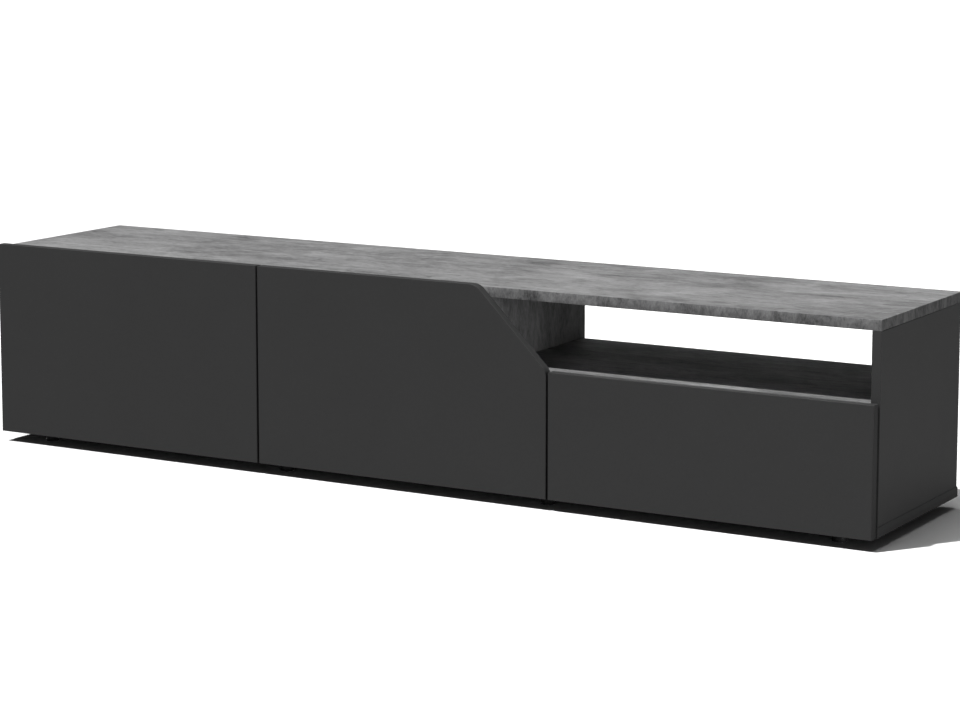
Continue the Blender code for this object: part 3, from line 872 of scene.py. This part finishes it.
def saw_corner(bm):
    """Saws the upper right corner off and eases the two new corners a little."""
    right = max(v.co.x for v in bm.verts)
    top = max(v.co.z for v in bm.verts)
    sawn = bmesh.ops.bisect_plane(
        bm,
        geom=bm.verts[:] + bm.edges[:] + bm.faces[:],
        plane_co=(right - CORNER_CUT / 2, 0.0, top - CORNER_CUT / 2),
        plane_no=(1.0, 0.0, 1.0),
        clear_outer=True,
    )
    rim = [part for part in sawn["geom_cut"] if isinstance(part, bmesh.types.BMEdge)]
    bmesh.ops.edgeloop_fill(bm, edges=rim)
    bmesh.ops.recalc_face_normals(bm, faces=bm.faces)
    through = []
    for edge in bm.edges:
        spot = edge.verts[0].co
        along = (spot - edge.verts[1].co).normalized()
        on_cut = spot.x > right - CORNER_REACH and spot.z > top - CORNER_REACH
        if abs(along.y) > 0.99 and on_cut:
            through.append(edge)
    bmesh.ops.bevel(
        bm,
        geom=through,
        offset=CORNER_SOFT,
        offset_type="OFFSET",
        segments=CORNER_STEPS,
        profile=0.5,
        affect="EDGES",
        clamp_overlap=True,
        material=-1,
    )


for door_name, corner_cut in (("left_door", None), ("middle_door", saw_corner)):
    door_low, door_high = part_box(door_name)
    side = door_name.split("_")[0]
    cup_spots = []
    for level in ("lower", "upper"):
        cup_low, cup_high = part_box(f"{side}_hinge_cup_{level}")
        cup_spots.append(((cup_low.x + cup_high.x) / 2, door_high.y, (cup_low.z + cup_high.z) / 2))
    door_mesh = banded_board(door_low, door_high, 1, corner_cut)
    piece(
        f"{side}_door_front",
        drilled(door_mesh, cup_spots, (0, 1, 0), CUP_BORE_R, CUP_BORE_DEPTH),
        (anthracite_face, anthracite_band, raw_chipboard),
        door_name,
        "anthracite_melamine",
        door_name,
    )

front_low, front_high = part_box("drawer_front")
piece(
    "drawer_face",
    banded_board(front_low, front_high, 1),
    (anthracite_face, anthracite_band),
    "drawer",
    "anthracite_melamine",
    "drawer_front",
)


# ---- Hinges ----
# Per door two pressed steel cups, sunk in the door and screwed through their wings, and two arms
# on plates that are screwed to the panel. All have cross-head screws.

NICKEL_DULL = (0.60, 0.59, 0.57, 1)
NICKEL_BRIGHT = (0.70, 0.69, 0.67, 1)
HEAD_R = 0.0032
HEAD_RISE = 0.0006
HEAD_STEPS = 24
RECESS_REACH = 0.0019
RECESS_HALF_W = 0.00045
CUP_WALL = 0.001
CUP_STEPS = 64
CUP_HOLE_GAP = 0.0005
WING_SIZE = (0.016, 0.062)
WING_T = 0.0008
WING_DROP = 0.0002
WING_ROUND = 0.0070
WING_SCREW_OUT = 0.024
ARM_L = 0.0697
ARM_T = 0.008
ARM_W = 0.014
ARM_WALL = 0.0012
ARM_FOLD = 0.0022
FOLD_LEAST = 0.0003
ARM_BLOCK_L = 0.0137
ARM_BLOCK_ROUND = 0.0003
ARM_SCREWS_IN = (0.033, 0.049)
ARM_GAP = 0.0002
CRANK_LEAST = 0.002
NECK_END_IN = 0.063
NECK_ROUND = 0.0010
NECK_RISE = 0.0019
NOSE_L = 0.009
NOSE_HALF_W = 0.0038
NOSE_ROUND = 0.0016
PLATE_T = 0.0025
PLATE_BASE = (0.046, 0.014)
PLATE_BASE_ROUND = 0.0035
PLATE_WING = (0.014, 0.052)
PLATE_WING_T = 0.0023
PLATE_WING_ROUND = 0.0065
PLATE_SCREW_OUT = 0.019

nickel_plate = finish(
    "nickel_plate",
    SHEET_STEEL,
    {"Spangle": 600.0, "Gloss": 0.34, "Gloss Spread": 0.12},
    NICKEL_DULL,
    NICKEL_BRIGHT,
    low=0.2,
    high=0.8,
    bump=0.05,
    bump_size=0.0001,
    Metallic=0.70,
)


def rounded_outline(width, height, radius, steps=7):
    """The corner points of a rounded rectangle round the origin."""
    points = []
    for number, (across, up) in enumerate(((1, 1), (-1, 1), (-1, -1), (1, -1))):
        for step in range(steps + 1):
            angle = math.pi / 2 * (number + step / steps)
            x = across * (width / 2 - radius) + radius * math.cos(angle)
            y = up * (height / 2 - radius) + radius * math.sin(angle)
            points.append((x, y))
    return points


def folded_outline(width, height, wall, fold, steps=5):
    """The outline of a channel folded from sheet: its web lies along x = 0 and it opens towards +X."""
    points = []
    for inset, radius in ((0.0, fold), (wall, max(fold - wall, FOLD_LEAST))):
        half = height / 2 - inset
        arcs = [(width, -half)]
        for up, start in ((-1, 1.5 * math.pi), (1, math.pi)):
            for step in range(steps + 1):
                angle = start - math.pi / 2 * step / steps
                x = inset + radius + radius * math.cos(angle)
                arcs.append((x, up * (half - radius) + radius * math.sin(angle)))
        arcs.append((width, half))
        points += arcs if inset == 0.0 else arcs[::-1]
    return points


def prism(outline, depth):
    """A closed prism that hangs the depth below its outline, which lies at z = 0."""
    bm = bmesh.new()
    lid = bm.faces.new([bm.verts.new((x, y, 0.0)) for x, y in outline])
    made = bmesh.ops.extrude_face_region(bm, geom=[lid])["geom"]
    lower = [part for part in made if isinstance(part, bmesh.types.BMVert)]
    bmesh.ops.translate(bm, verts=lower, vec=(0.0, 0.0, -depth))
    bmesh.ops.recalc_face_normals(bm, faces=bm.faces)
    for face in bm.faces:
        face.smooth = len(face.verts) == 4
    return bm


def soft_box(low, high, radius, steps=3):
    """A block with rounded edges."""
    bm = bmesh.new()
    bmesh.ops.create_cube(bm, size=1.0)
    bmesh.ops.scale(bm, vec=Vector(high) - Vector(low), verts=bm.verts)
    bmesh.ops.translate(bm, vec=(Vector(low) + Vector(high)) / 2, verts=bm.verts)
    rounded = bmesh.ops.bevel(
        bm,
        geom=bm.edges[:],
        offset=radius,
        offset_type="OFFSET",
        segments=steps,
        profile=0.5,
        affect="EDGES",
        clamp_overlap=True,
        material=-1,
    )
    for face in rounded["faces"]:
        face.smooth = True
    return bm


def add_shape(bm, shape, place=Matrix()):
    """Adds the shape to the mesh at its place. The shape is used up."""
    bmesh.ops.transform(shape, matrix=place, verts=shape.verts)
    data = bpy.data.meshes.new("shape")
    shape.to_mesh(data)
    shape.free()
    bm.from_mesh(data)
    bpy.data.meshes.remove(data)


def cross_screw(bm, place, axis):
    """A pan head with a cross recess. Its top is at the place."""
    head = bmesh.new()
    dome = (
        (0.0, 0.0),
        (0.55 * HEAD_R, 0.0),
        (0.80 * HEAD_R, -0.25 * HEAD_RISE),
        (0.95 * HEAD_R, -0.65 * HEAD_RISE),
        (HEAD_R, -HEAD_RISE),
        (HEAD_R, -1.8 * HEAD_RISE),
        (0.0, -1.8 * HEAD_RISE),
    )
    turned(head, dome, (0, 0, 0), (0, 0, 1), HEAD_STEPS)
    near, far = RECESS_HALF_W, RECESS_REACH
    cross = []
    for number in range(4):
        turn = Matrix.Rotation(number * math.pi / 2, 2)
        cross += [tuple(turn @ Vector(point)) for point in ((near, near), (near, far), (-near, far))]
    recess = prism(cross, 1.9 * HEAD_RISE)
    bmesh.ops.translate(recess, verts=recess.verts, vec=(0.0, 0.0, 0.5 * HEAD_RISE))
    for face in recess.faces:
        face.smooth = False
    add_shape(bm, cut_away(head, recess), facing(place, axis))


def hinge_cup(name, node_name, body):
    """A pressed cup with a wing above and below that is screwed to the back of the door."""
    low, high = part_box(node_name)
    middle = (low + high) / 2
    mouth = Vector((middle.x, high.y - HEAD_RISE, middle.z))
    floor = low.y - mouth.y
    outer = (high.x - low.x) / 2
    inner = outer - CUP_WALL
    hole = bmesh.new()
    bmesh.ops.create_cone(
        hole,
        cap_ends=True,
        segments=CUP_STEPS,
        radius1=inner + CUP_HOLE_GAP,
        radius2=inner + CUP_HOLE_GAP,
        depth=0.01,
    )
    cup = cut_away(prism(rounded_outline(*WING_SIZE, WING_ROUND), WING_T), hole)
    bmesh.ops.translate(cup, verts=cup.verts, vec=(0.0, 0.0, -WING_DROP))
    pressing = (
        (0.0, floor + CUP_WALL),
        (inner - 0.0016, floor + CUP_WALL),
        (inner - 0.0005, floor + CUP_WALL + 0.0005),
        (inner, floor + CUP_WALL + 0.0016),
        (inner, -0.0006),
        (inner + 0.0003, 0.0),
        (outer - 0.0003, 0.0),
        (outer, -0.0003),
        (outer, floor + 0.0022),
        (outer - 0.0007, floor + 0.0007),
        (outer - 0.0022, floor),
        (0.0, floor),
    )
    turned(cup, pressing, (0, 0, 0), (0, 0, 1), CUP_STEPS)
    bmesh.ops.transform(cup, matrix=facing(mouth, (0, 1, 0)), verts=cup.verts)
    for end in (-1, 1):
        cross_screw(cup, mouth + Vector((0.0, HEAD_RISE, end * WING_SCREW_OUT)), (0, 1, 0))
    piece(name, cup, (nickel_plate,), body, "nickel_steel", node_name)


def hinge_arm(name, node_name):
    """The arm's folded cover, and the block, neck and nose in its front end.

    Where the solid reaches well past the cover, the arm is cranked and its neck reaches as far.
    """
    low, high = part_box(node_name)
    z = (low.z + high.z) / 2
    top_x = low.x + ARM_T
    front_y = high.y - ARM_L
    arm = bmesh.new()
    cover = prism(folded_outline(ARM_T, ARM_W, ARM_WALL, ARM_FOLD), ARM_L)
    add_shape(arm, cover, facing((top_x, high.y, z), (0, 1, 0)))
    half = ARM_W / 2 - ARM_WALL / 2
    block_low = (low.x + ARM_GAP / 2, front_y + ARM_GAP, z - half)
    block_high = (top_x - ARM_WALL / 2, front_y + ARM_BLOCK_L, z + half)
    add_shape(arm, soft_box(block_low, block_high, ARM_BLOCK_ROUND))
    neck_x = high.x if high.x > top_x + CRANK_LEAST else top_x + NECK_RISE
    neck_y = high.y - NECK_END_IN
    neck_low = (low.x + ARM_T / 2, front_y + ARM_GAP, z - NOSE_HALF_W - ARM_GAP)
    neck_high = (neck_x, neck_y, z + NOSE_HALF_W + ARM_GAP)
    add_shape(arm, soft_box(neck_low, neck_high, NECK_ROUND))
    nose_low = (neck_x - NOSE_L, low.y, z - NOSE_HALF_W)
    nose_high = (neck_x - ARM_GAP, neck_y - ARM_GAP, z + NOSE_HALF_W)
    add_shape(arm, soft_box(nose_low, nose_high, NOSE_ROUND))
    for screw_in in ARM_SCREWS_IN:
        cross_screw(arm, (top_x + HEAD_RISE, high.y - screw_in, z), (1, 0, 0))
    piece(name, arm, (nickel_plate,), "carcass", "nickel_steel", node_name)


def hinge_plate(name, node_name):
    """A plate along the arm, with a wing above and below that is screwed to the panel."""
    low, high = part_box(node_name)
    middle = (low + high) / 2
    plate = bmesh.new()
    for size, thickness, radius in (
        (PLATE_BASE, PLATE_T, PLATE_BASE_ROUND),
        (PLATE_WING, PLATE_WING_T, PLATE_WING_ROUND),
    ):
        tongue = prism(rounded_outline(*size, radius), thickness)
        add_shape(plate, tongue, facing((low.x + thickness, middle.y, middle.z), (1, 0, 0)))
    for end in (-1, 1):
        cross_screw(plate, (high.x, middle.y, middle.z + end * PLATE_SCREW_OUT), (1, 0, 0))
    piece(name, plate, (zinc_plate,), "carcass", "zinc_steel", node_name)


for side in ("left", "middle"):
    for level in ("lower", "upper"):
        hinge_cup(f"{side}_cup_{level}", f"{side}_hinge_cup_{level}", f"{side}_door")
        hinge_arm(f"{side}_arm_{level}", f"{side}_hinge_arm_{level}")
        hinge_plate(f"{side}_plate_{level}", f"{side}_hinge_arm_{level}_plate")


# ---- Latches ----
# Push latches: a grey moulded body, screwed to the panel, a black nose that springs out 10 mm,
# and a steel strike plate on the door for the nose's magnet.

LATCH_ROUND = 0.0016
LATCH_BORE_R = 0.0040
LATCH_BORE_L = 0.055
LATCH_SCREWS = ((0.016, 0.0058), (0.046, -0.0058))
LATCH_SINK_R = 0.0038
LATCH_SINK_DEPTH = 0.0018
PIN_STEPS = 40
DISC_STEPS = 48
DISC_SINK = 0.0004
PLASTIC_GREY = (0.19, 0.19, 0.195, 1)
PLASTIC_GREY_WORN = (0.26, 0.26, 0.265, 1)

grey_plastic = finish(
    "grey_plastic_skin",
    PEARL_GRAIN,
    {"Grain": 1300.0, "Gloss": 0.44, "Gloss Spread": 0.10},
    PLASTIC_GREY,
    PLASTIC_GREY_WORN,
    low=0.2,
    high=0.8,
    bump=0.3,
    bump_size=0.0002,
)


def latch_body(name, node_name):
    """The moulded body, bored for the nose, with two screws sunk in it."""
    low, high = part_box(node_name)
    middle = (low + high) / 2
    mouth = (middle.x, low.y, middle.z)
    body = soft_box(low, high, LATCH_ROUND)
    body = drilled(body, [mouth], (0, -1, 0), LATCH_BORE_R, LATCH_BORE_L, 0)
    spots = [Vector((low.x, low.y + along, middle.z + up)) for along, up in LATCH_SCREWS]
    body = drilled(body, spots, (-1, 0, 0), LATCH_SINK_R, LATCH_SINK_DEPTH, 0)
    plastic_faces = set(body.faces)
    for spot in spots:
        cross_screw(body, spot + Vector((LATCH_SINK_DEPTH / 2, 0.0, 0.0)), (-1, 0, 0))
    for face in body.faces:
        if face not in plastic_faces:
            face.material_index = 1
    piece(name, body, (grey_plastic, zinc_plate), "carcass", "grey_plastic", node_name)


def latch_nose(name, node_name, body):
    """The round nose, with the magnet's ring on its end."""
    low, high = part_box(node_name)
    middle = (low + high) / 2
    radius = (high.x - low.x) / 2
    length = high.y - low.y
    pin = bmesh.new()
    shape = (
        (0.0, 0.0),
        (0.0016, 0.0),
        (0.0018, 0.0003),
        (0.0021, 0.0003),
        (0.0023, 0.0),
        (radius - 0.0007, 0.0001),
        (radius - 0.0002, 0.0005),
        (radius, 0.0012),
        (radius, length - 0.0006),
        (radius - 0.0006, length),
        (0.0, length),
    )
    turned(pin, shape, (middle.x, low.y, middle.z), (0, 1, 0), PIN_STEPS)
    piece(name, pin, (black_plastic,), body, "black_plastic", node_name)


def strike_plate(name, node_name, body):
    """A disc with a sunk middle, held by one screw."""
    low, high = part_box(node_name)
    middle = (low + high) / 2
    radius = (high.x - low.x) / 2
    disc = bmesh.new()
    shape = (
        (0.0, -DISC_SINK),
        (HEAD_R + 0.0002, -DISC_SINK),
        (HEAD_R + 0.0008, 0.0),
        (radius - 0.0003, 0.0),
        (radius, -0.0003),
        (radius, low.y - high.y),
        (0.0, low.y - high.y),
    )
    turned(disc, shape, (middle.x, high.y, middle.z), (0, 1, 0), DISC_STEPS)
    cross_screw(disc, (middle.x, high.y, middle.z), (0, 1, 0))
    piece(name, disc, (zinc_plate,), body, "zinc_steel", node_name)


for side in ("left", "middle"):
    latch_body(f"{side}_push_latch", f"{side}_latch_body")
    latch_nose(f"{side}_push_pin", f"{side}_latch_nose", f"{side}_latch")
    strike_plate(f"{side}_strike_disc", f"{side}_strike_plate", f"{side}_door")


# ---- Drawer box ----
# Two sides and a back, and a thin bottom that sits in grooves, all wrapped in a grey foil with a
# linen print. The drawer front closes the box.

FOIL_DARK = (0.060, 0.060, 0.062, 1)
FOIL_PALE = (0.120, 0.120, 0.123, 1)


def linen_print():
    """A printed linen: threads along all three axes that cross, with slubs."""
    tree, given, result = new_group(
        "linen_print", (("Thread", 900.0), ("Gloss", 0.55)), ("Shade", "Roughness", "Height")
    )
    place = given.outputs["Vector"]
    threads = []
    for stretch in ((0.03, 1.0, 1.0), (1.0, 0.03, 1.0), (1.0, 1.0, 0.03)):
        lay = laid(tree, place, (0, 0, 0), stretch)
        threads.append(noise(tree, lay, given.outputs["Thread"], 2.0))
    crossed = reckon(tree, "ADD", reckon(tree, "ADD", threads[0], threads[1]), threads[2])
    slubs = noise(tree, place, 25.0, 3.0)
    tone = reckon(tree, "MULTIPLY_ADD", crossed, 0.30, reckon(tree, "MULTIPLY", slubs, 0.10))
    rough = reckon(tree, "MULTIPLY_ADD", tone, 0.12, given.outputs["Gloss"])
    tree.links.new(tone, result.inputs["Shade"])
    tree.links.new(rough, result.inputs["Roughness"])
    tree.links.new(tone, result.inputs["Height"])
    return tree


drawer_foil = finish(
    "drawer_foil_linen",
    linen_print(),
    {"Thread": 900.0, "Gloss": 0.52},
    FOIL_DARK,
    FOIL_PALE,
    low=0.40,
    high=0.60,
    bump=0.2,
    bump_size=0.0002,
    Specular_IOR_Level=0.4,
)
for node_name in ("drawer_side_left", "drawer_side_right", "drawer_back", "drawer_bottom"):
    refinish(node_name, drawer_foil)


# ---- Runners ----
# Full-extension runners in zinc plated steel: each has an outer, a middle and an inner member,
# folded from sheet. The outer ones are screwed to the panels through their webs.

RUNNER_WALL = 0.0012
RUNNER_FOLD = 0.0024
RUNNER_SCREWS_IN = (0.035, 0.125, 0.235)
RUNNER_BODIES = {"outer": "carcass", "middle": "runner_middles", "inner": "drawer"}

for side, inward in (("left", 1), ("right", -1)):
    for member, body_name in RUNNER_BODIES.items():
        node_name = f"runner_{member}_{side}"
        runner_low, runner_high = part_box(node_name)
        runner_middle = (runner_low + runner_high) / 2
        runner_size = runner_high - runner_low
        opens = -inward if member == "inner" else inward
        web_x = runner_low.x if opens > 0 else runner_high.x
        outline = folded_outline(runner_size.x, runner_size.z, RUNNER_WALL, RUNNER_FOLD)
        outline = [(-opens * x, y) for x, y in outline]
        runner_mesh = bmesh.new()
        stand = facing((web_x, runner_high.y, runner_middle.z), (0, 1, 0))
        add_shape(runner_mesh, prism(outline, runner_size.y), stand)
        if member == "outer":
            head_x = web_x + inward * (RUNNER_WALL + HEAD_RISE)
            for screw_in in RUNNER_SCREWS_IN:
                head_place = (head_x, runner_low.y + screw_in, runner_middle.z)
                cross_screw(runner_mesh, head_place, (inward, 0, 0))
        piece(f"slide_{member}_{side}", runner_mesh, (zinc_plate,), body_name, "zinc_steel", node_name)
